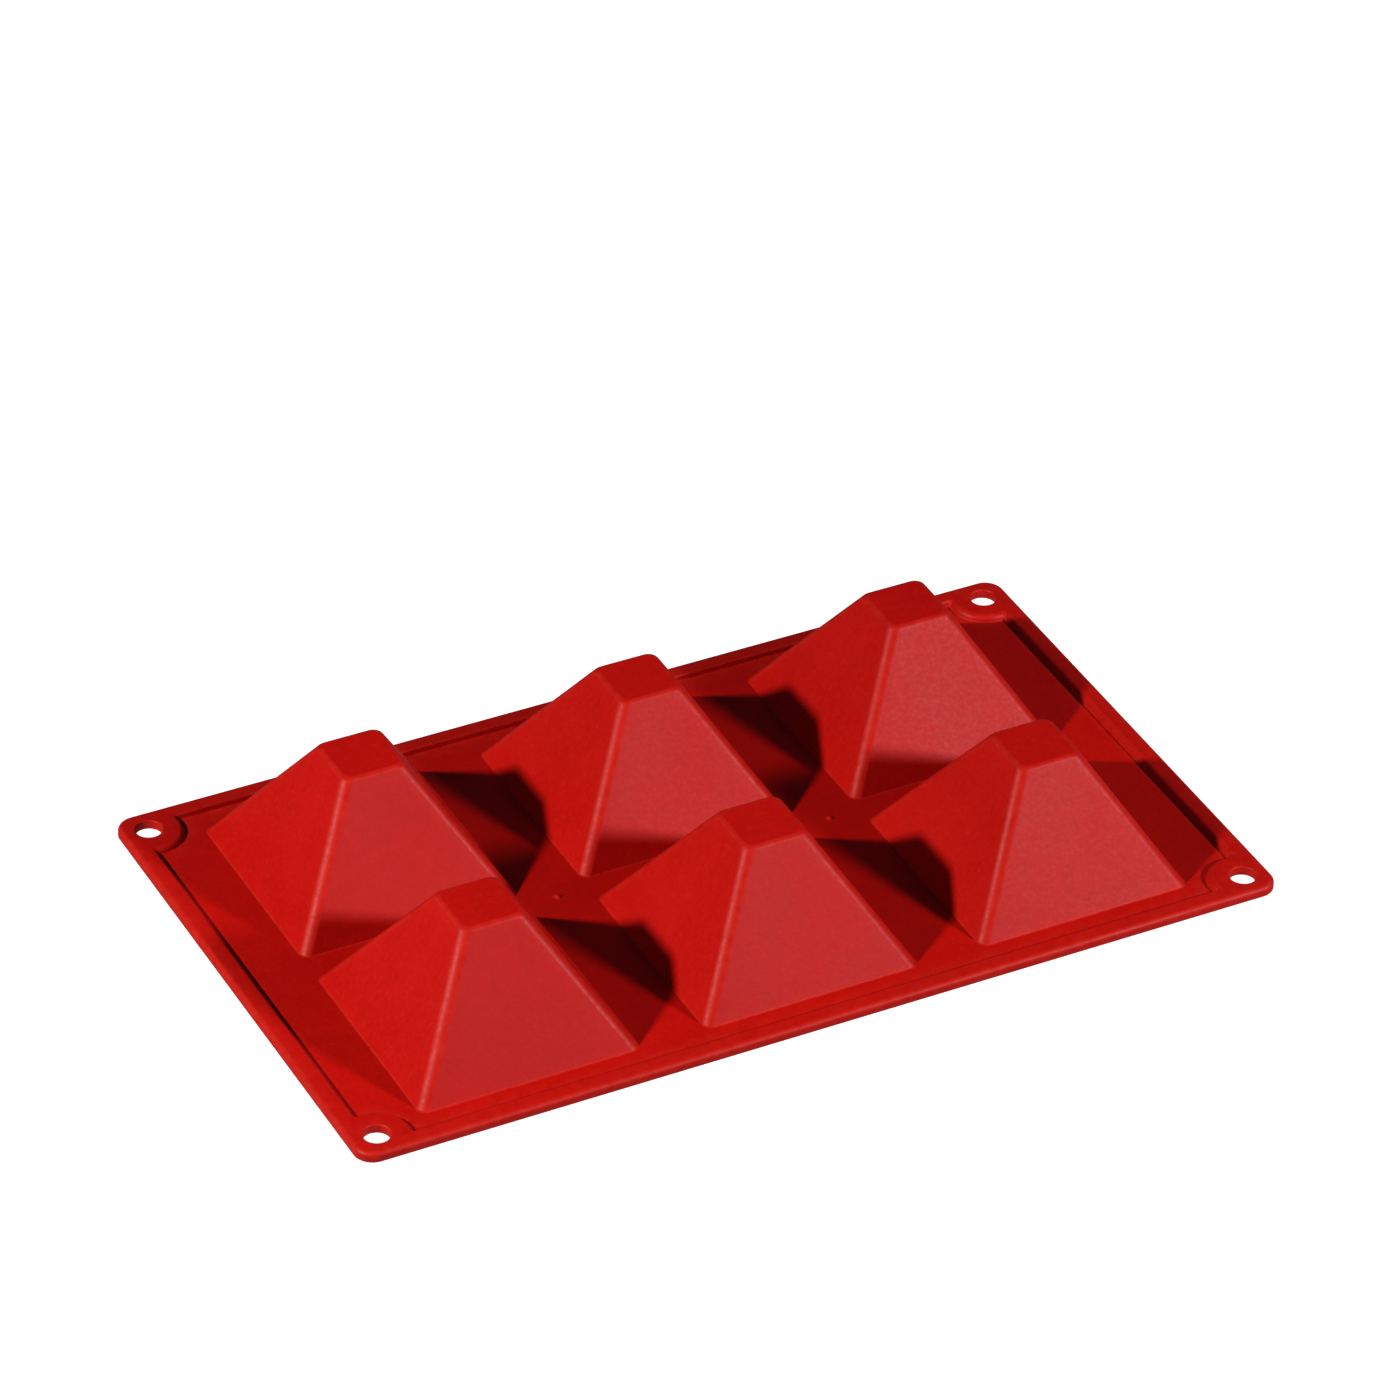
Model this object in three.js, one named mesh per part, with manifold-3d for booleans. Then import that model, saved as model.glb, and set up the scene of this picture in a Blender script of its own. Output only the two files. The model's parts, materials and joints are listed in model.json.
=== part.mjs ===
// Six-cavity pyramid casting mould in silicone, lying cavity side down with its cups standing up.
// It is one flexible moulding. Each mesh is a named region of it, and the regions meet face to face.
// Millimetres, +Z up. The origin is the centre of the flat underside, X runs along the long side.
import * as THREE from "three";
import { mergeVertices } from "three/addons/utils/BufferGeometryUtils.js";
import Module from "manifold-3d";

const wasm = await Module();
wasm.setup();

// Flange: a thin web inside a raised rim
const PLATE_LENGTH = 300;
const PLATE_WIDTH = 175;
const PLATE_CORNER_RADIUS = 6;
const WEB_THICKNESS = 1.2;
const RIM_HEIGHT = 3.2;
const RIM_EDGE_RADIUS = 1;
const SIDE_RIM_WIDTH = 5.6; // along the front and back, with an upright inner wall
const END_RIM_LAND = 4.9; // along the left and right ends, flat top of the rim
const END_RIM_SLOPE = 2.9; // run of the sloped inner wall that follows it

// Corner pads, each with a hanging hole
const HOLE_INSET = 8.4; // hole centre from both edges of the plate
const HOLE_DIAMETER = 8;
const PAD_RADIUS = 9.7;
const PAD_FOOT_RADIUS = 11.5;
const PAD_TILE = 20.5; // square of flange that belongs to one corner pad

// Cups: hollow truncated pyramids, two rows of three
const COLUMNS = ["left", "middle", "right"];
const ROWS = ["front", "back"];
const COLUMN_PITCH = 90.7;
const ROW_PITCH = 79.2;
const CUP_BASE = 70; // outer square where a cup meets the web
const CUP_TOP = 20; // outer square of its flat end, before rounding
const CUP_HEIGHT = 40; // above the web
const CUP_WALL = 1.4; // measured square to the sloping wall
const CUP_END_WALL = 1.2;
const RIDGE_RADIUS = 2.6; // plan radius of the four sloping ridges
const CUP_END_RADIUS = 2; // rounding around the flat end
const CAVITY_RIDGE_RADIUS = 1.5;

// Flex strips: the web and rim that bend between two columns of cups
const STRIP_WIDTH = 16;
const PIP_RADIUS = 1.1; // small dome at each crossing of four cups

const SILICONE = { color: 0xb3140f, roughness: 0.5, metalness: 0 };
const QUARTER_TURN = Math.PI / 2;
const ARC_STEPS = 4; // segments in a quarter turn
const CUT = 1; // how far a cutting body runs past what it cuts

const halfLength = PLATE_LENGTH / 2;
const halfWidth = PLATE_WIDTH / 2;
const webEndX = halfLength - END_RIM_LAND - END_RIM_SLOPE;
const webSideY = halfWidth - SIDE_RIM_WIDTH;
const tileX = halfLength - PAD_TILE;
const tileY = halfWidth - PAD_TILE;
const foldX = COLUMN_PITCH / 2;
const stripInnerX = foldX - STRIP_WIDTH / 2;
const stripOuterX = foldX + STRIP_WIDTH / 2;

// Points of a rounded rectangle at height z, anticlockwise seen from above.
function outline(halfX, halfY, radius, z, steps = ARC_STEPS) {
  const points = [];
  for (let corner = 0; corner < 4; corner += 1) {
    const centreX = (halfX - radius) * (corner === 0 || corner === 3 ? 1 : -1);
    const centreY = (halfY - radius) * (corner < 2 ? 1 : -1);
    for (let step = 0; step <= steps; step += 1) {
      const turn = (corner + step / steps) * QUARTER_TURN;
      const x = centreX + radius * Math.cos(turn);
      const y = centreY + radius * Math.sin(turn);
      points.push(new THREE.Vector3(x, y, z));
    }
  }
  return points;
}

const circle = (radius, z) => outline(radius, radius, radius, z, 2 * ARC_STEPS);
const cupOutline = (half, z) => outline(half, half, RIDGE_RADIUS, z);

// A closed body through rings of equal count, with a fan over the first ring and the last.
function loft(rings) {
  const centreOf = (ring) => {
    const sum = ring.reduce((total, point) => total.add(point), new THREE.Vector3());
    return ring.map(() => sum.clone().divideScalar(ring.length));
  };
  const levels = [centreOf(rings[0]), ...rings, centreOf(rings.at(-1))];
  const positions = [];
  const addTriangle = (a, b, c) => {
    if (a.equals(b) || b.equals(c) || c.equals(a)) return;
    positions.push(...a.toArray(), ...b.toArray(), ...c.toArray());
  };
  for (let level = 0; level + 1 < levels.length; level += 1) {
    const [from, to] = [levels[level], levels[level + 1]];
    from.forEach((point, i) => {
      const next = (i + 1) % from.length;
      addTriangle(point, from[next], to[next]);
      addTriangle(point, to[next], to[i]);
    });
  }
  const geometry = new THREE.BufferGeometry();
  geometry.setAttribute("position", new THREE.Float32BufferAttribute(positions, 3));
  return geometry;
}

function solidFrom(geometry) {
  const bare = geometry.clone();
  bare.deleteAttribute("normal");
  bare.deleteAttribute("uv");
  const merged = mergeVertices(bare);
  const vertProperties = new Float32Array(merged.attributes.position.array);
  const triVerts = new Uint32Array(merged.index.array);
  return new wasm.Manifold(new wasm.Mesh({ numProp: 3, vertProperties, triVerts }));
}

function geometryFrom(solid) {
  const { vertProperties, triVerts } = solid.getMesh();
  const geometry = new THREE.BufferGeometry();
  geometry.setAttribute("position", new THREE.BufferAttribute(vertProperties, 3));
  geometry.setIndex(new THREE.BufferAttribute(triVerts, 1));
  return geometry;
}

function silicone(name, geometry) {
  geometry.computeVertexNormals();
  const mesh = new THREE.Mesh(geometry, new THREE.MeshStandardMaterial(SILICONE));
  mesh.name = name;
  return mesh;
}

// The outside of the plate, with its upper edge rounded.
function plateSolid() {
  const rings = [outline(halfLength, halfWidth, PLATE_CORNER_RADIUS, 0)];
  for (let step = 0; step <= ARC_STEPS; step += 1) {
    const turn = (step / ARC_STEPS) * QUARTER_TURN;
    const inset = RIM_EDGE_RADIUS * (1 - Math.cos(turn));
    const z = RIM_HEIGHT - RIM_EDGE_RADIUS * (1 - Math.sin(turn));
    rings.push(outline(halfLength - inset, halfWidth - inset, PLATE_CORNER_RADIUS - inset, z));
  }
  return solidFrom(loft(rings));
}

// What is missing above the web, inside the rim. Its two end walls lean outwards as they rise.
function recessSolid() {
  const ring = (halfX, z) => outline(halfX, webSideY, CUT, z);
  const upperX = webEndX + END_RIM_SLOPE;
  const rings = [ring(webEndX, WEB_THICKNESS), ring(upperX, RIM_HEIGHT), ring(upperX, RIM_HEIGHT + CUT)];
  return solidFrom(loft(rings));
}

// A round pad that flares to its foot, taller than the rim so that it leaves no skin in the recess.
function padSolid() {
  const foot = [circle(PAD_FOOT_RADIUS, 0), circle(PAD_FOOT_RADIUS, WEB_THICKNESS)];
  const crown = [circle(PAD_RADIUS, RIM_HEIGHT), circle(PAD_RADIUS, RIM_HEIGHT + 2 * CUT)];
  return solidFrom(loft([...foot, ...crown]));
}

function holeSolid() {
  return solidFrom(loft([circle(HOLE_DIAMETER / 2, -CUT), circle(HOLE_DIAMETER / 2, RIM_HEIGHT + CUT)]));
}

const cupPlaces = COLUMNS.flatMap((column, i) =>
  ROWS.map((row, j) => ({
    name: `cavity_cup_${row}_${column}`,
    x: (i - (COLUMNS.length - 1) / 2) * COLUMN_PITCH,
    y: (j - (ROWS.length - 1) / 2) * ROW_PITCH,
  })),
);

// The whole flange in one body: web, rim, corner pads and hanging holes, open where the cups stand.
function flangeSolid() {
  const cuts = [];
  let recess = recessSolid();
  for (const signX of [-1, 1]) {
    for (const signY of [-1, 1]) {
      const place = [signX * (halfLength - HOLE_INSET), signY * (halfWidth - HOLE_INSET), 0];
      recess = recess.subtract(padSolid().translate(place));
      cuts.push(holeSolid().translate(place));
    }
  }
  const mouth = solidFrom(loft([cupOutline(CUP_BASE / 2, -CUT), cupOutline(CUP_BASE / 2, RIM_HEIGHT)]));
  cuts.push(recess, ...cupPlaces.map(({ x, y }) => mouth.translate([x, y, 0])));
  return cuts.reduce((flange, cut) => flange.subtract(cut), plateSolid());
}

const flange = flangeSolid();

// A block over part of the plate, higher and deeper than the flange.
function block([minX, maxX], [minY, maxY]) {
  const geometry = new THREE.BoxGeometry(maxX - minX, maxY - minY, RIM_HEIGHT + 2 * CUT);
  geometry.translate((minX + maxX) / 2, (minY + maxY) / 2, RIM_HEIGHT / 2);
  return solidFrom(geometry);
}

// The stretch from near to far on the positive side of an axis, or its mirror image.
const stretch = (sign, near, far) => (sign > 0 ? [near, far] : [-far, -near]);
const region = (name, xs, ys) => silicone(name, geometryFrom(flange.intersect(block(xs, ys))));

// The web of one column, without the squares that belong to the corner pads.
function webSheet(column, xs) {
  let sheet = flange.intersect(block(xs, [-webSideY, webSideY]));
  for (const signX of [-1, 1]) {
    for (const signY of [-1, 1]) {
      const tile = block(stretch(signX, tileX, halfLength), stretch(signY, tileY, halfWidth));
      sheet = sheet.subtract(tile);
    }
  }
  return silicone(`web_sheet_${column}`, geometryFrom(sheet));
}

function sideRims(column, xs) {
  return ROWS.map((row, j) => {
    const ys = stretch(2 * j - 1, webSideY, halfWidth + CUT);
    return region(`side_rim_${row}_${column}`, xs, ys);
  });
}

function endRim(column, signX) {
  return region(`end_rim_${column}`, stretch(signX, webEndX, halfLength + CUT), [-tileY, tileY]);
}

function cornerPads(column, signX) {
  return ROWS.map((row, j) => {
    const ys = stretch(2 * j - 1, tileY, halfWidth + CUT);
    return region(`corner_pad_${row}_${column}`, stretch(signX, tileX, halfLength + CUT), ys);
  });
}

// The full width of flange between two columns of cups, with the pip in its middle.
function flexStrip(column, signX) {
  const ys = [-halfWidth - CUT, halfWidth + CUT];
  const strip = flange.intersect(block(stretch(signX, stripInnerX, stripOuterX), ys));
  const ball = new THREE.SphereGeometry(PIP_RADIUS, 4 * ARC_STEPS, 2 * ARC_STEPS);
  const pip = solidFrom(ball.translate(signX * foldX, 0, WEB_THICKNESS));
  return silicone(`flex_strip_${column}`, geometryFrom(strip.add(pip)));
}

// A hollow truncated pyramid, open below. Its rings run from the cavity's ceiling down to the
// mouth, across the lower edge, and up the outside to the flat end.
function cupGeometry() {
  const lean = (CUP_BASE - CUP_TOP) / 2 / CUP_HEIGHT;
  const wallRun = CUP_WALL * Math.hypot(1, lean);
  const crown = WEB_THICKNESS + CUP_HEIGHT;
  const cavity = (z) => {
    const half = CUP_TOP / 2 + (crown - z) * lean - wallRun;
    return outline(half, half, CAVITY_RIDGE_RADIUS, z);
  };
  const rings = [cavity(crown - CUP_END_WALL), cavity(0)];
  rings.push(cupOutline(CUP_BASE / 2, 0), cupOutline(CUP_BASE / 2, WEB_THICKNESS));

  const wallTurn = Math.atan2(1, lean); // from straight up to square off the wall
  const flatHalf = CUP_TOP / 2 - CUP_END_RADIUS * Math.tan(wallTurn / 2);
  for (let step = ARC_STEPS; step >= 0; step -= 1) {
    const turn = (step / ARC_STEPS) * wallTurn;
    const half = flatHalf + CUP_END_RADIUS * Math.sin(turn);
    rings.push(cupOutline(half, crown - CUP_END_RADIUS * (1 - Math.cos(turn))));
  }
  return loft(rings);
}

function cup({ name, x, y }) {
  const mesh = silicone(name, cupGeometry());
  mesh.position.set(x, y, 0);
  return mesh;
}

const mould = new THREE.Group();
for (const [column, signX] of [
  ["left", -1],
  ["right", 1],
]) {
  mould.add(webSheet(column, stretch(signX, stripOuterX, webEndX)));
  mould.add(...sideRims(column, stretch(signX, stripOuterX, tileX)));
  mould.add(endRim(column, signX), ...cornerPads(column, signX), flexStrip(column, signX));
}
mould.add(webSheet("middle", [-stripInnerX, stripInnerX]));
mould.add(...sideRims("middle", [-stripInnerX, stripInnerX]));
mould.add(...cupPlaces.map(cup));

export default mould;
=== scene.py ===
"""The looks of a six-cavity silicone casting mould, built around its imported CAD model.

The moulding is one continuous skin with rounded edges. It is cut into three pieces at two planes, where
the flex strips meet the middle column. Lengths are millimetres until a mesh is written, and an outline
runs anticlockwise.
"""
import json
import math

import bmesh
import bpy
import numpy as np
from mathutils import Matrix, Vector
from mathutils.geometry import delaunay_2d_cdt


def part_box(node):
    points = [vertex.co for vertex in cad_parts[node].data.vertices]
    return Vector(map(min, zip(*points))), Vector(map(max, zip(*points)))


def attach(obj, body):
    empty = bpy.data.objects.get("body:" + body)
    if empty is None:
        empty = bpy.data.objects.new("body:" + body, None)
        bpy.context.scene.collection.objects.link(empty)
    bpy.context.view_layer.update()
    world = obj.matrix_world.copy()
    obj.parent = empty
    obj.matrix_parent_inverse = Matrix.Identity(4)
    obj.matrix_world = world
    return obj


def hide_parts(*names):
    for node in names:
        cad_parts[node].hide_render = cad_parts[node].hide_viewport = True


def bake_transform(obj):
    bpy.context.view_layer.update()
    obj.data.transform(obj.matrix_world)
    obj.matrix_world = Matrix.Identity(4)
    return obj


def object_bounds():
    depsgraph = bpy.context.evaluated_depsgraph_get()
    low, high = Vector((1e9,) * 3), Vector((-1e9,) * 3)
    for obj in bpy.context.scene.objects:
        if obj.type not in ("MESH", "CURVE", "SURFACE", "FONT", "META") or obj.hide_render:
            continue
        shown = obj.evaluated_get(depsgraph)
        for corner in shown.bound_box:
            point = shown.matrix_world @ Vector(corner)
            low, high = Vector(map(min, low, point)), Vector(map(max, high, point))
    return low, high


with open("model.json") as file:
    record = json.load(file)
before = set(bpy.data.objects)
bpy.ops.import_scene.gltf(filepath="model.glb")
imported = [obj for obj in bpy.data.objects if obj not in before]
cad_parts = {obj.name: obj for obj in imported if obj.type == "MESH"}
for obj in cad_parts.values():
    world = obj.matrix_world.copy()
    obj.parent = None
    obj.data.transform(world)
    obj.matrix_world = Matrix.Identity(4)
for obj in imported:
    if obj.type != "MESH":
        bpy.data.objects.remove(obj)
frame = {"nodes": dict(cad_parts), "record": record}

cad_low, cad_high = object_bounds()

MM = 1000.0  # millimetres in a metre
QUARTER = math.pi / 2
UP = Vector((0, 0, 1))


def box_mm(node):
    low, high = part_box(node)
    return low * MM, high * MM


def centre_of(low, high):
    return (Vector(low) + Vector(high)) / 2


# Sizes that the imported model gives
HALF_LENGTH, HALF_WIDTH, CROWN = cad_high * MM
WEB_TOP = box_mm("web_sheet_middle")[1].z
RIM_TOP = box_mm("side_rim_back_middle")[1].z
SIDE_WALL_Y = box_mm("side_rim_back_middle")[0].y
SEAM_X = box_mm("flex_strip_right")[0].x
STRIP_END_X = box_mm("flex_strip_right")[1].x
FOLD_X = (SEAM_X + STRIP_END_X) / 2

CUPS = [name for name in frame["nodes"] if name.startswith("cavity_cup_")]
CUP_CENTRES = [centre_of(*box_mm(name)) for name in sorted(CUPS)]
CUP_BASE = (box_mm(CUPS[0])[1].x - box_mm(CUPS[0])[0].x) / 2

OPENINGS = frame["record"]["physics"]["openings"]
HOLES = [centre_of(*o["box_m"]) * MM for o in OPENINGS if o["name"].startswith("hanging_hole")]
HOLE = Vector((max(h.x for h in HOLES), max(h.y for h in HOLES), 0))  # the one at +X +Y

# The plate, its rim and its pads
PLATE_CORNER_RADIUS = 6.0
PLATE_EDGE_RADIUS = 1.5
LOWER_EDGE_RADIUS = 0.3
END_RIM_LAND = 6.3
END_WALL_RUN = 0.4  # how far the foot of an inner wall stands in from its top
SIDE_WALL_RUN = 0.4
PAD_RADIUS = 10.2
PAD_RUN = 0.5
HOLE_RADIUS = 4.0
HOLE_EDGE_RADIUS = 0.5
VALLEY_RADIUS = 0.9  # in plan, where a rim's inner wall runs into a pad
FOOT_RADIUS = 0.4  # at the foot of the inner walls
SIDE_EDGE_RADIUS = 0.7
END_EDGE_RADIUS = 1.9
PAD_EDGE_RADIUS = 1.9

# The cups and the pips between them
CUP_TOP = 10.0  # half the flat end, before its edge is rounded
CUP_WALL = 1.4
CUP_END_WALL = 1.2
RIDGE_RADIUS = 3.0
CUP_END_RADIUS = 2.0
CUP_FOOT_RADIUS = 0.8
CAVITY_RIDGE_RADIUS = 1.5
CAVITY_END_RADIUS = 1.2
MOUTH_RADIUS = 0.6
WALL_DISH = 0.2  # how far the middle of a cup's wall sinks in
PIP_FOOT_RADIUS = 1.56
PIP_HEIGHT = 0.7
LEAN = (CUP_BASE - CUP_TOP) / (CROWN - WEB_TOP)  # of a cup's wall, inwards for each millimetre up
WALL_TILT = math.atan2(1, LEAN)  # the same as an angle from level
WALL_RUN = CUP_WALL * math.hypot(1, LEAN)  # a cup's wall measured level

# How finely the skin is divided
CORNER_STEPS = 16
RIDGE_STEPS = 8
SIDE_STEPS = 12
EDGE_STEPS = 6
WALL_STEPS = 12
SLOPE_LEVELS = 16
HOLE_STEPS = 48
PIP_STEPS = 24
CAP_STEPS = 4
STRIP_ROWS = 16
OUTER_ROWS = 12
END_ROWS = 20
RIM_ROWS = 4
GRID_PITCH = 6.0
GRID_GAP = GRID_PITCH / 3  # the least distance from a grid point to an outline
WELD = 0.002
FLAT_TURN = math.radians(4.9)  # a smaller turn between neighbouring faces isn't an edge


def spread(start, end, steps):
    return [start + (end - start) * i / steps for i in range(steps + 1)]


# Shared lines across the mould, at which every long edge and every flat face has its points
STRIP_LINES = spread(SEAM_X, STRIP_END_X, STRIP_ROWS)
MIDDLE_LINES = spread(-SEAM_X, SEAM_X, round(2 * SEAM_X / GRID_PITCH))[1:-1]
LINES_END_X, LINES_END_Y = HOLE.x - 1.6 * PAD_RADIUS, HOLE.y - 2 * PAD_RADIUS  # short of the pads
OUTER_LINES = spread(STRIP_END_X, LINES_END_X, OUTER_ROWS)[1:]
ALL_LINES = sorted(MIDDLE_LINES + [sign * x for sign in (-1, 1) for x in STRIP_LINES + OUTER_LINES])
END_LINES = spread(-LINES_END_Y, LINES_END_Y, END_ROWS)


def arc(centre_x, centre_y, radius, start, end, steps):
    """Points on a circle, in plan, from one angle to another."""
    turns = spread(start, end, steps)
    return [(centre_x + radius * math.cos(a), centre_y + radius * math.sin(a)) for a in turns]


def mirrored(quadrant):
    """The whole anticlockwise loop whose part in the quadrant +X +Y runs from +X to +Y."""
    left = [(-x, y) for x, y in reversed(quadrant)]
    half = quadrant + left
    return half + [(-x, -y) for x, y in half]


def plate_loop(inset):
    """The outer edge of the plate, in plan, moved in by inset."""
    radius = PLATE_CORNER_RADIUS - inset
    corner_x, corner_y = HALF_LENGTH - PLATE_CORNER_RADIUS, HALF_WIDTH - PLATE_CORNER_RADIUS
    side = [(HALF_LENGTH - inset, y) for y in END_LINES if y > 0]
    corner = arc(corner_x, corner_y, radius, 0, QUARTER, CORNER_STEPS)
    back = [(x, HALF_WIDTH - inset) for x in reversed(ALL_LINES) if x > 0]
    return mirrored(side + corner + back)


def slope_offset(z, run, edge_radius):
    """How far the inner wall of the rim stands in from its upper edge at height z, both edges rounded."""
    height = RIM_TOP - WEB_TOP
    tilt = math.atan2(height, run)
    depth, rise = RIM_TOP - z, z - WEB_TOP
    if depth < edge_radius * (1 - math.cos(tilt)):
        turn = math.acos(1 - depth / edge_radius)
        return edge_radius * (math.sin(turn) - math.tan(tilt / 2))
    if rise < FOOT_RADIUS * (1 - math.cos(tilt)):
        turn = math.acos(1 - rise / FOOT_RADIUS)
        return run + FOOT_RADIUS * (math.tan(tilt / 2) - math.sin(turn))
    return run * depth / height


def recess_loop(z):
    """The inner wall of the rim and of the four pads at height z, in plan.

    Round a pad it is a fillet to the end rim's wall, the pad's own edge, and a fillet to the side rim's
    wall. The fillets' centres are (end_u, end_v) and (side_u, side_v) from the hole.
    """
    end_x = HALF_LENGTH - END_RIM_LAND - slope_offset(z, END_WALL_RUN, END_EDGE_RADIUS)
    side_y = SIDE_WALL_Y + SIDE_WALL_RUN / 2 - slope_offset(z, SIDE_WALL_RUN, SIDE_EDGE_RADIUS)
    pad = PAD_RADIUS + slope_offset(z, PAD_RUN, PAD_EDGE_RADIUS)
    reach = pad + VALLEY_RADIUS
    end_u, side_v = end_x - VALLEY_RADIUS - HOLE.x, side_y - VALLEY_RADIUS - HOLE.y
    end_v = -math.sqrt(reach**2 - end_u**2)
    side_u = -math.sqrt(reach**2 - side_v**2)
    end_turn = math.atan2(end_v, end_u) % (4 * QUARTER)
    side_turn = math.atan2(side_v, side_u) % (4 * QUARTER)
    end_centre = (HOLE.x + end_u, HOLE.y + end_v)
    side_centre = (HOLE.x + side_u, HOLE.y + side_v)
    side = [(end_x, y) for y in END_LINES if y > 0]
    end_fillet = arc(*end_centre, VALLEY_RADIUS, 0, end_turn - 2 * QUARTER, EDGE_STEPS)
    pad_edge = arc(HOLE.x, HOLE.y, pad, end_turn, side_turn, CORNER_STEPS)
    side_fillet = arc(*side_centre, VALLEY_RADIUS, side_turn - 2 * QUARTER, QUARTER, EDGE_STEPS)
    back = [(x, side_y) for x in reversed(ALL_LINES) if x > 0]
    return mirrored(side + end_fillet + pad_edge[1:-1] + side_fillet + back)


def square_loop(half, radius):
    """A square round the origin with rounded corners, in plan, with points along its sides too."""
    loop = []
    inner = half - radius
    centres = ((inner, inner), (-inner, inner), (-inner, -inner), (inner, -inner))
    side_ends = ((-inner, half), (-half, -inner), (inner, -half), (half, inner))
    for corner, (centre, side_end) in enumerate(zip(centres, side_ends)):
        turn = corner * QUARTER
        loop += arc(*centre, radius, turn, turn + QUARTER, RIDGE_STEPS)
        along_x, along_y = (spread(a, b, SIDE_STEPS)[1:-1] for a, b in zip(loop[-1], side_end))
        loop += zip(along_x, along_y)
    return loop


def circle_loop(centre, radius, steps):
    return arc(centre[0], centre[1], radius, 0, 4 * QUARTER, steps)[:-1]


class Skin:
    """Points and faces of the moulding, gathered patch by patch and welded at the end."""

    def __init__(self):
        self.points = []
        self.faces = []
        self.inner = []  # 1 for a point inside a cavity

    def add_points(self, points, inner=0.0):
        start = len(self.points)
        self.points += [tuple(p) for p in points]
        self.inner += [inner] * len(points)
        return range(start, len(self.points))

    def add_rings(self, rings, inner=0.0, closed=False):
        """Quads between rings of equal count, and a fan over the last ring if it closes."""
        rows = [self.add_points(ring, inner) for ring in rings]
        for low, high in zip(rows, rows[1:]):
            for i in range(len(low)):
                j = (i + 1) % len(low)
                self.faces.append((low[i], low[j], high[j], high[i]))
        if closed:
            top = rows[-1]
            middle = self.add_points([np.mean(rings[-1], axis=0)], inner)[0]
            self.faces += [(top[i], top[(i + 1) % len(top)], middle) for i in range(len(top))]

    def add_flat(self, outer, holes, z):
        """A level face inside one loop and outside others, divided along the shared lines."""
        points, triangles = divide_flat(outer, holes)
        start = self.add_points(at_height(points, z))[0]
        self.faces += [tuple(start + i for i in triangle) for triangle in triangles]


def inside(points, loops):
    """Whether each point lies inside an odd number of the loops."""
    points = np.asarray(points, float)
    odd = np.zeros(len(points), bool)
    for loop in loops:
        a = np.asarray(loop, float)
        b = np.roll(a, -1, axis=0)
        for (ax, ay), (bx, by) in zip(a, b):
            if ay == by:
                continue
            crosses = (ay > points[:, 1]) != (by > points[:, 1])
            at = ax + (points[:, 1] - ay) * (bx - ax) / (by - ay)
            odd ^= crosses & (points[:, 0] < at)
    return odd


def near_loops(points, loops, gap):
    """Whether each point lies closer than gap to some point of the loops."""
    ends = np.concatenate([np.asarray(loop, float) for loop in loops])
    return np.array([np.min(np.hypot(*(ends - p).T)) < gap for p in points])


def grid_points(loops):
    """Points inside a level face, on the shared lines and across the rims."""
    across = spread(-HALF_WIDTH, HALF_WIDTH, round(2 * HALF_WIDTH / GRID_PITCH))
    ends = [sign * x for sign in (-1, 1) for x in spread(HOLE.x - PAD_RADIUS, HALF_LENGTH, RIM_ROWS)]
    grid = np.array([(x, y) for x in ALL_LINES + ends for y in across])
    keep = inside(grid, loops) & ~near_loops(grid, loops, GRID_GAP)
    return [tuple(p) for p in grid[keep]]


def strip_edges(points, loops, pips):
    """Edges along the strip lines, inside a level face and clear of the pips."""
    edges = []
    for x in [sign * x for sign in (-1, 1) for x in STRIP_LINES]:
        line = sorted((p[1], i) for i, p in enumerate(points) if abs(p[0] - x) < WELD)
        pairs = [(a[1], b[1]) for a, b in zip(line, line[1:]) if b[0] - a[0] > WELD]
        middles = np.array([(x, (points[a][1] + points[b][1]) / 2) for a, b in pairs])
        good = inside(middles, loops)
        if pips:
            good &= ~near_loops(middles, pips, GRID_PITCH)
        edges += [pair for pair, kept in zip(pairs, good) if kept]
    return edges


def divide_flat(outer, holes):
    """Points and triangles of a level face. The strip lines run through it as edges."""
    loops = [outer, *holes]
    points = [p for loop in loops for p in loop]
    edges = []
    start = 0
    for loop in loops:
        edges += [(start + i, start + (i + 1) % len(loop)) for i in range(len(loop))]
        start += len(loop)
    points += grid_points(loops)
    pips = [loop for loop in holes if len(loop) == PIP_STEPS]
    edges += strip_edges(points, loops, pips)
    made = delaunay_2d_cdt([Vector(p) for p in points], edges, [], 0, WELD / 4)
    flat, triangles = made[0], np.array(made[2])
    middles = np.array([[sum(flat[i][k] for i in t) / 3 for k in (0, 1)] for t in triangles])
    return [tuple(p) for p in flat], triangles[inside(middles, loops)]


def at_height(loop, z):
    return [(x, y, z) for x, y in loop]


def edge_rings(loop_at, z, radius, rising):
    """Rings round a square edge, between a level face at z and an upright wall."""
    rings = []
    for turn in spread(0, QUARTER, EDGE_STEPS):
        inset = radius * (1 - math.sin(turn))
        drop = radius * (1 - math.cos(turn))
        rings.append(at_height(loop_at(inset), z + drop if rising else z - drop))
    return rings


def add_plate_edge(skin):
    lower = edge_rings(plate_loop, 0.0, LOWER_EDGE_RADIUS, rising=True)
    upper = edge_rings(plate_loop, RIM_TOP, PLATE_EDGE_RADIUS, rising=False)
    skin.add_rings(lower + upper[::-1])


def add_recess_wall(skin):
    height = RIM_TOP - WEB_TOP
    levels = [RIM_TOP - height * (1 - math.cos(t)) / 2 for t in spread(0, 2 * QUARTER, SLOPE_LEVELS)]
    skin.add_rings([at_height(recess_loop(z), z) for z in levels])


def add_holes(skin):
    for hole in HOLES:
        def widened(inset, hole=hole):
            return circle_loop(hole, HOLE_RADIUS + inset, HOLE_STEPS)

        lower = edge_rings(widened, 0.0, HOLE_EDGE_RADIUS, rising=True)
        upper = edge_rings(widened, RIM_TOP, HOLE_EDGE_RADIUS, rising=False)
        skin.add_rings(lower + upper[::-1])


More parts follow.
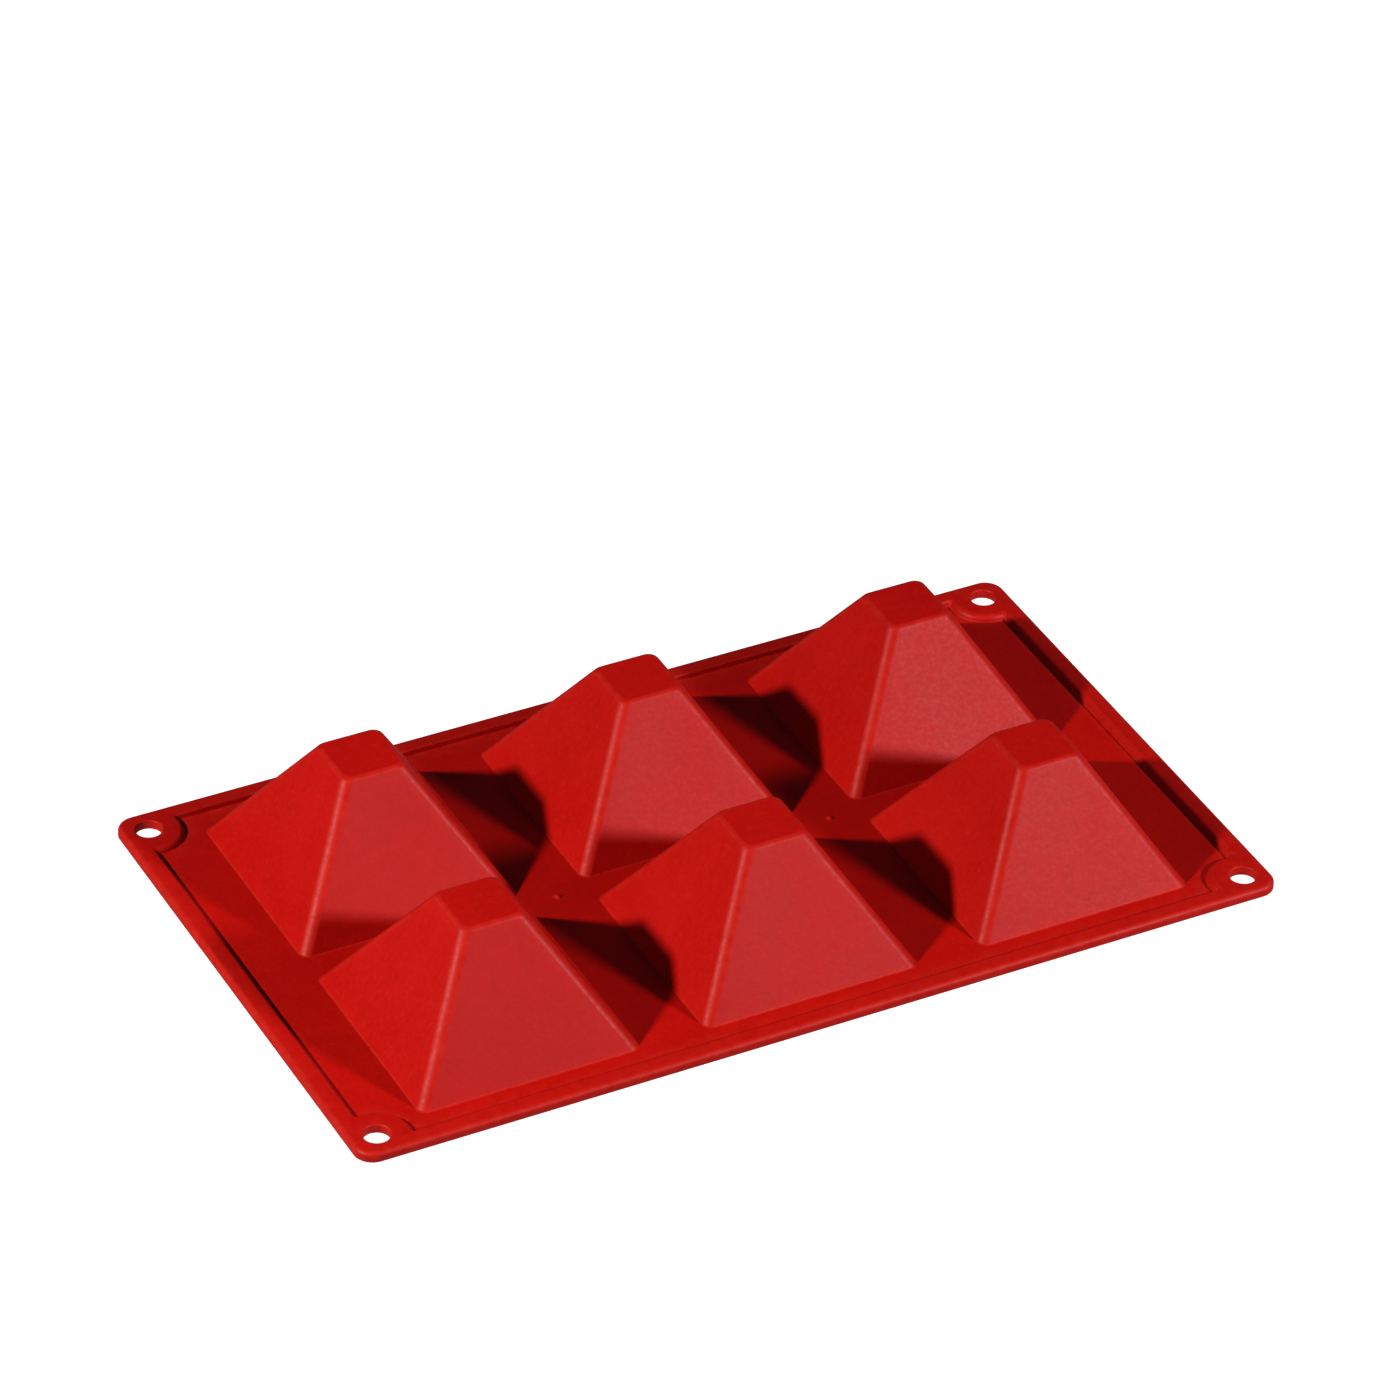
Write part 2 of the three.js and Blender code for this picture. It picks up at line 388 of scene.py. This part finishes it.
def foot_profile(half, z, radius):
    """Half widths and heights round the edge between a level face at z and a cup's wall."""
    return [(half + radius * (math.tan(WALL_TILT / 2) - math.sin(t)), z + radius * (1 - math.cos(t)))
            for t in spread(0, WALL_TILT, EDGE_STEPS)]


def end_profile(half, z, radius):
    """The same round the edge of the flat end, from the wall up."""
    return [(half - radius * (math.tan(WALL_TILT / 2) - math.sin(t)), z - radius * (1 - math.cos(t)))
            for t in spread(WALL_TILT, 0, EDGE_STEPS)]


def pyramid_rings(centre, profile, ridge_radius, dish):
    """Rings up a pyramid. Its walls sink in a little between the profile's ends."""
    low, high = profile[EDGE_STEPS][1], profile[-EDGE_STEPS - 1][1]
    rings = []
    for half, z in profile:
        share = min(1.0, max(0.0, (z - low) / (high - low)))
        loop = np.array(square_loop(half, ridge_radius))
        along = np.min(np.abs(loop), axis=1) / half
        sink = dish * 4 * share * (1 - share) * np.clip(1 - along**2, 0, 1) ** 2
        side = np.abs(loop) >= np.max(np.abs(loop), axis=1, keepdims=True) - WELD
        loop = loop - np.sign(loop) * side * sink[:, None]
        rings.append([(x + centre.x, y + centre.y, z) for x, y in loop])
    return rings


def wall_between(lower, upper):
    (half_a, z_a), (half_b, z_b) = lower[-1], upper[0]
    return [(half_a + (half_b - half_a) * i / WALL_STEPS, z_a + (z_b - z_a) * i / WALL_STEPS)
            for i in range(1, WALL_STEPS)]


def cap_rings(ring):
    """Rings that shrink towards the middle of a flat end."""
    ring = np.array(ring)
    middle = ring.mean(axis=0)
    shares = spread(1, 0, CAP_STEPS)[1:-1]
    return [middle + (ring - middle) * share for share in shares]


def add_cup(skin, centre):
    foot = foot_profile(CUP_BASE, WEB_TOP, CUP_FOOT_RADIUS)
    end = end_profile(CUP_TOP, CROWN, CUP_END_RADIUS)
    rings = pyramid_rings(centre, foot + wall_between(foot, end) + end, RIDGE_RADIUS, WALL_DISH)
    skin.add_rings(rings + cap_rings(rings[-1]), closed=True)

    ceiling = CROWN - CUP_END_WALL
    mouth_half = CUP_TOP + CROWN * LEAN - WALL_RUN
    mouth = foot_profile(mouth_half, 0.0, MOUTH_RADIUS)
    top = end_profile(mouth_half - ceiling * LEAN, ceiling, CAVITY_END_RADIUS)
    profile = mouth + wall_between(mouth, top) + top
    inner = pyramid_rings(centre, profile, CAVITY_RIDGE_RADIUS, WALL_DISH)
    skin.add_rings(inner + cap_rings(inner[-1]), inner=1.0, closed=True)
    return rings[0], inner[0]


def add_pip(skin, sign):
    """A small dome at a crossing of four cups, with a fillet at its foot."""
    rings = []
    for share in spread(0, 1, 2 * EDGE_STEPS)[:-1]:
        rise = PIP_HEIGHT * (1 - math.cos(2 * QUARTER * share)) / 2
        rings.append((PIP_FOOT_RADIUS * (1 - share), WEB_TOP + rise))
    centre = (sign * FOLD_X, 0.0)
    loops = [at_height(circle_loop(centre, radius, PIP_STEPS), z) for radius, z in rings]
    skin.add_rings(loops, closed=True)
    return loops[0]


def plan(ring):
    return [(p[0], p[1]) for p in ring]


def whole_skin():
    skin = Skin()
    add_plate_edge(skin)
    add_recess_wall(skin)
    add_holes(skin)
    cups = [add_cup(skin, centre) for centre in CUP_CENTRES]
    pips = [add_pip(skin, sign) for sign in (-1, 1)]
    holes = [circle_loop(hole, HOLE_RADIUS + HOLE_EDGE_RADIUS, HOLE_STEPS) for hole in HOLES]
    feet = [plan(foot) for foot, mouth in cups]
    mouths = [plan(mouth) for foot, mouth in cups]
    skin.add_flat(plate_loop(PLATE_EDGE_RADIUS), [recess_loop(RIM_TOP), *holes], RIM_TOP)
    skin.add_flat(recess_loop(WEB_TOP), feet + [plan(pip) for pip in pips], WEB_TOP)
    skin.add_flat(plate_loop(LOWER_EDGE_RADIUS), mouths + holes, 0.0)
    return skin


def welded(skin):
    """The skin as one closed mesh. Its points carry how far they are inside a cavity and on an edge."""
    mesh = bmesh.new()
    inner = mesh.verts.layers.float.new("inside")
    verts = [mesh.verts.new(p) for p in skin.points]
    for vert, value in zip(verts, skin.inner):
        vert[inner] = value
    for face in skin.faces:
        mesh.faces.new([verts[i] for i in face])
    bmesh.ops.remove_doubles(mesh, verts=mesh.verts, dist=WELD)
    bmesh.ops.recalc_face_normals(mesh, faces=mesh.faces)
    edge = mesh.verts.layers.float.new("edge")
    for vert in mesh.verts:
        turn = max(abs(e.calc_face_angle_signed(0)) for e in vert.link_edges)
        vert[edge] = min(1.0, max(0.0, (turn - FLAT_TURN) / FLAT_TURN))
    mesh.verts.index_update()
    mesh.normal_update()
    return mesh


def weighted_normals(mesh):
    """A normal for each vertex in which the large faces count most, so that flat faces look flat."""
    made = []
    for vert in mesh.verts:
        total = Vector((0, 0, 0))
        for loop in vert.link_loops:
            total += loop.face.normal * (loop.face.calc_area() * loop.calc_angle())
        made.append(total.normalized())
    return made


def close_cuts(piece, sides):
    """Fills the cut at each plane across X that the piece ends at, and gives the new faces."""
    caps = set()
    for side in sides:
        cut = [e for e in piece.edges if e.is_boundary and abs(e.verts[0].co.x - side) < WELD]
        filled = bmesh.ops.triangle_fill(piece, edges=cut, use_beauty=True)["geom"]
        caps |= {made for made in filled if isinstance(made, bmesh.types.BMFace)}
    bmesh.ops.recalc_face_normals(piece, faces=piece.faces)
    return caps


def column_piece(whole, normals, name, low, high):
    """The part of the skin between two planes across X, closed at each cut, as an object in metres.

    It keeps the whole skin's normals, so that no seam shows between two pieces.
    """
    piece = whole.copy()
    number = piece.verts.layers.int.new("number")
    for vert in piece.verts:
        vert[number] = vert.index
    outside = [face for face in piece.faces if not low < face.calc_center_median().x < high]
    bmesh.ops.delete(piece, geom=outside, context="FACES")
    caps = close_cuts(piece, (low, high))
    corner_normals = []
    for face in piece.faces:
        face.smooth = True
        flat = face.normal.copy()
        corner_normals += [flat if face in caps else normals[v[number]] for v in face.verts]
    bmesh.ops.scale(piece, vec=(1 / MM,) * 3, verts=piece.verts)
    piece.verts.layers.int.remove(number)
    data = bpy.data.meshes.new(name)
    piece.to_mesh(data)
    piece.free()
    data.normals_split_custom_set(corner_normals)
    made = bpy.data.objects.new(name, data)
    bpy.context.scene.collection.objects.link(made)
    return made


def nodes_of(*bodies):
    groups = frame["record"]["behaviour"]["bodies"]
    return [node for body in bodies for node in groups[body]]


def build_skin():
    """The three pieces of the skin. The middle one goes with the middle column, and the imported parts
    under them are hidden.
    """
    whole = welded(whole_skin())
    normals = weighted_normals(whole)
    beyond = 2 * HALF_LENGTH
    left = column_piece(whole, normals, "silicone_left", -beyond, -SEAM_X)
    middle = column_piece(whole, normals, "silicone_middle", -SEAM_X, SEAM_X)
    right = column_piece(whole, normals, "silicone_right", SEAM_X, beyond)
    whole.free()
    for piece, side, sign in ((left, "left", -1), (right, "right", 1)):
        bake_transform(piece)
        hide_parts(*nodes_of(f"{side}_column"), f"flex_strip_{side}")
    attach(middle, "middle_column")
    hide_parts(*[n for n in nodes_of("middle_column") if not n.startswith("flex_strip_")])
    material = silicone_material()
    for piece in (left, middle, right):
        piece.data.materials.append(material)


# Silicone: a deep red, satin and a little dusty
DEEP_RED = (0.37, 0.0042, 0.0017, 1)
BRIGHT_RED = (0.43, 0.0058, 0.0025, 1)
WORN_RED = (0.46, 0.030, 0.018, 1)  # rubbed and dusty, along the edges and in small specks
CLOUD_SIZE, MOTTLE_SIZE, SPECK_SIZE, GRAIN_SIZE = 22.0, 3.2, 1.3, 0.55  # mm
MOTTLE_RELIEF, SPECK_RELIEF, GRAIN_RELIEF = 0.035, 0.025, 0.02  # mm
NOISE_RANGE = (0.3, 0.7)  # most of a noise lies in it
SPECK_RANGE = (0.55, 0.75)  # and the specks are its highest parts
CLOUD_SHARE, MOTTLE_SHARE = (0.25, 0.75), (-0.25, 0.25)  # of the bright red
RUBBED_SHARE, DUSTY_SHARE = (0.1, 0.5), (0.0, 0.15)  # of the worn red
ROUGHNESS, CLOUD_ROUGHNESS = (0.44, 0.54), (-0.03, 0.03)
EDGE_ROUGHNESS, CAVITY_ROUGHNESS = 0.03, -0.14  # added there


def node(tree, kind, **settings):
    made = tree.nodes.new(kind)
    for name, value in settings.items():
        if name in made.inputs:
            made.inputs[name].default_value = value
        else:
            setattr(made, name, value)
    return made


def noise(tree, size, detail, roughness):
    """Noise whose features are about size across, in millimetres on the object."""
    place = tree.nodes.new("ShaderNodeTexCoord").outputs["Object"]
    made = node(tree, "ShaderNodeTexNoise", Scale=MM / size, Detail=detail, Roughness=roughness)
    tree.links.new(place, made.inputs["Vector"])
    return made.outputs["Fac"]


def remap(tree, value, from_range, to_range):
    made = tree.nodes.new("ShaderNodeMapRange")
    for name, number in zip(("From Min", "From Max", "To Min", "To Max"), (*from_range, *to_range)):
        made.inputs[name].default_value = number
    tree.links.new(value, made.inputs["Value"])
    return made.outputs["Result"]


def math_node(tree, operation, *values):
    made = node(tree, "ShaderNodeMath", operation=operation)
    for socket, value in zip(made.inputs, values):
        if isinstance(value, (int, float)):
            socket.default_value = value
        else:
            tree.links.new(value, socket)
    return made.outputs[0]


def mixed(tree, factor, first, second):
    """A colour between two others, each of them a constant or a socket."""
    mix = node(tree, "ShaderNodeMix", data_type="RGBA")
    tree.links.new(factor, mix.inputs["Factor"])
    for socket, value in zip([s for s in mix.inputs if s.type == "RGBA"], (first, second)):
        if isinstance(value, tuple):
            socket.default_value = value
        else:
            tree.links.new(value, socket)
    return next(s for s in mix.outputs if s.type == "RGBA")


def attribute(tree, name):
    return node(tree, "ShaderNodeAttribute", attribute_name=name).outputs["Fac"]


def silicone_colour(tree, clouds, mottle, specks, edge):
    broad = remap(tree, clouds, NOISE_RANGE, CLOUD_SHARE)
    fine = remap(tree, mottle, NOISE_RANGE, MOTTLE_SHARE)
    red = mixed(tree, math_node(tree, "ADD", broad, fine), DEEP_RED, BRIGHT_RED)
    rubbed = math_node(tree, "MULTIPLY", edge, remap(tree, mottle, NOISE_RANGE, RUBBED_SHARE))
    dusty = remap(tree, specks, SPECK_RANGE, DUSTY_SHARE)
    return mixed(tree, math_node(tree, "MAXIMUM", rubbed, dusty), red, WORN_RED)


def silicone_roughness(tree, clouds, specks, edge):
    """Satin, in soft patches. The cavities are smoother than the outside, and worn edges rougher."""
    broad = remap(tree, clouds, NOISE_RANGE, CLOUD_ROUGHNESS)
    fine = remap(tree, specks, NOISE_RANGE, ROUGHNESS)
    patches = math_node(tree, "ADD", broad, fine)
    worn = math_node(tree, "MULTIPLY", edge, EDGE_ROUGHNESS)
    smooth = math_node(tree, "MULTIPLY", attribute(tree, "inside"), CAVITY_ROUGHNESS)
    return math_node(tree, "ADD", patches, math_node(tree, "ADD", worn, smooth))


def silicone_relief(tree, mottle, specks, grain):
    """Height in millimetres of the moulded surface's slight waviness and grain."""
    relief = math_node(tree, "MULTIPLY", mottle, MOTTLE_RELIEF)
    relief = math_node(tree, "MULTIPLY_ADD", specks, SPECK_RELIEF, relief)
    return math_node(tree, "MULTIPLY_ADD", grain, GRAIN_RELIEF, relief)


def silicone_material():
    material = bpy.data.materials.new("silicone_skin")
    material.use_nodes = True
    tree = material.node_tree
    tree.nodes.clear()
    clouds = noise(tree, CLOUD_SIZE, detail=3.0, roughness=0.5)
    mottle = noise(tree, MOTTLE_SIZE, detail=4.0, roughness=0.6)
    specks = noise(tree, SPECK_SIZE, detail=2.0, roughness=0.5)
    grain = noise(tree, GRAIN_SIZE, detail=3.0, roughness=0.6)
    edge = attribute(tree, "edge")

    shader = node(tree, "ShaderNodeBsdfPrincipled", IOR=1.41)
    shader.inputs["Sheen Weight"].default_value = 0.004
    shader.inputs["Sheen Roughness"].default_value = 0.4
    shader.inputs["Specular IOR Level"].default_value = 0.27
    tree.links.new(silicone_colour(tree, clouds, mottle, specks, edge), shader.inputs["Base Color"])
    tree.links.new(silicone_roughness(tree, clouds, specks, edge), shader.inputs["Roughness"])
    bump = node(tree, "ShaderNodeBump", Strength=0.7, Distance=1 / MM)
    tree.links.new(silicone_relief(tree, mottle, specks, grain), bump.inputs["Height"])
    tree.links.new(bump.outputs["Normal"], shader.inputs["Normal"])

    output = tree.nodes.new("ShaderNodeOutputMaterial")
    tree.links.new(shader.outputs["BSDF"], output.inputs["Surface"])
    return material


# Camera, light and floor, in metres and degrees
CAMERA_AZIMUTH, CAMERA_ELEVATION, CAMERA_ROLL = -28.46, 35.69, 1.98
CAMERA_DISTANCE = 2.244
CAMERA_LENS = 188.9  # mm
CAMERA_FAR = 10
CAMERA_TARGET = Vector((0.0387, 0.0718, 0.0))
LIGHT_TARGET = Vector((0, 0, CROWN / MM / 2))
WARM, COOL, WHITE = (1, 0.95, 0.88), (0.96, 0.97, 1), (1, 1, 1)
ROOM_LIGHT = {"Color": (0.55, 0.75, 1, 1), "Strength": 0.08}
BACKGROUND = {"Color": (1, 1, 1, 1), "Strength": 1.0}
FLOOR_GREY = (0.35, 0.35, 0.35, 1)
FLOOR_HALF = 3.0
FLOOR_DIVISIONS = 8
FLOOR_DEPTH = (HALF_LENGTH - FOLD_X) / MM  # a folded column reaches no lower


def direction(azimuth, elevation):
    """The unit vector towards a viewer, with azimuth 0 in front and positive to the right."""
    a, e = math.radians(azimuth), math.radians(elevation)
    return Vector((math.sin(a) * math.cos(e), -math.cos(a) * math.cos(e), math.sin(e)))


def add_camera():
    back = direction(CAMERA_AZIMUTH, CAMERA_ELEVATION)
    right = UP.cross(back).normalized()
    up = back.cross(right)
    roll = math.radians(CAMERA_ROLL)
    axis_x = right * math.cos(roll) + up * math.sin(roll)
    axis_y = up * math.cos(roll) - right * math.sin(roll)
    place = CAMERA_TARGET + back * CAMERA_DISTANCE
    data = bpy.data.cameras.new("camera")
    data.lens = CAMERA_LENS
    data.clip_end = CAMERA_FAR
    camera = bpy.data.objects.new("camera", data)
    camera.matrix_world = Matrix((axis_x, axis_y, back)).transposed().to_4x4()
    camera.location = place
    bpy.context.scene.collection.objects.link(camera)
    bpy.context.scene.camera = camera


def add_lamp(name, azimuth, elevation, distance, size, power, colour):
    data = bpy.data.lights.new(name, "AREA")
    data.shape = "DISK"
    data.size = size
    data.energy = power
    data.color = colour
    lamp = bpy.data.objects.new(name, data)
    back = direction(azimuth, elevation)
    lamp.rotation_mode = "QUATERNION"
    lamp.rotation_quaternion = back.to_track_quat("Z", "Y")
    lamp.location = LIGHT_TARGET + back * distance
    bpy.context.scene.collection.objects.link(lamp)


def add_world():
    """White to the camera, and dim everywhere else, so that the shadows stay deep."""
    world = bpy.data.worlds.new("studio")
    world.use_nodes = True
    tree = world.node_tree
    tree.nodes.clear()
    dim = node(tree, "ShaderNodeBackground", **ROOM_LIGHT)
    bright = node(tree, "ShaderNodeBackground", **BACKGROUND)
    path = tree.nodes.new("ShaderNodeLightPath")
    mix = tree.nodes.new("ShaderNodeMixShader")
    output = tree.nodes.new("ShaderNodeOutputWorld")
    tree.links.new(path.outputs["Is Camera Ray"], mix.inputs["Fac"])
    tree.links.new(dim.outputs["Background"], mix.inputs[1])
    tree.links.new(bright.outputs["Background"], mix.inputs[2])
    tree.links.new(mix.outputs["Shader"], output.inputs["Surface"])
    bpy.context.scene.world = world


def add_floor():
    """A light grey floor that only throws light back, low enough for a folded column to hang above it.

    The camera sees the white world through it, from above and from below, and the lamps shine through it.
    """
    material = bpy.data.materials.new("floor")
    material.use_nodes = True
    tree = material.node_tree
    tree.nodes.clear()
    dull = node(tree, "ShaderNodeBsdfDiffuse", Color=FLOOR_GREY)
    output = tree.nodes.new("ShaderNodeOutputMaterial")
    tree.links.new(dull.outputs["BSDF"], output.inputs["Surface"])

    mesh = bmesh.new()
    bmesh.ops.create_grid(mesh, x_segments=FLOOR_DIVISIONS, y_segments=FLOOR_DIVISIONS, size=FLOOR_HALF)
    data = bpy.data.meshes.new("floor")
    mesh.to_mesh(data)
    mesh.free()
    data.materials.append(material)
    floor = bpy.data.objects.new("floor", data)
    floor.location.z = -FLOOR_DEPTH
    floor.visible_camera = False
    floor.visible_shadow = False
    bpy.context.scene.collection.objects.link(floor)


add_camera()
add_lamp("key", azimuth=-85, elevation=33, distance=1.15, size=0.08, power=13, colour=WARM)
add_lamp("fill", azimuth=42, elevation=27.5, distance=1.6, size=0.18, power=21.5, colour=COOL)
add_lamp("under", azimuth=0, elevation=-90, distance=1.5, size=1.0, power=12, colour=WHITE)
add_world()
add_floor()
build_skin()
bpy.context.scene.view_settings.view_transform = "Standard"
bpy.context.scene.view_settings.look = "Medium High Contrast"

bpy.context.view_layer.update()
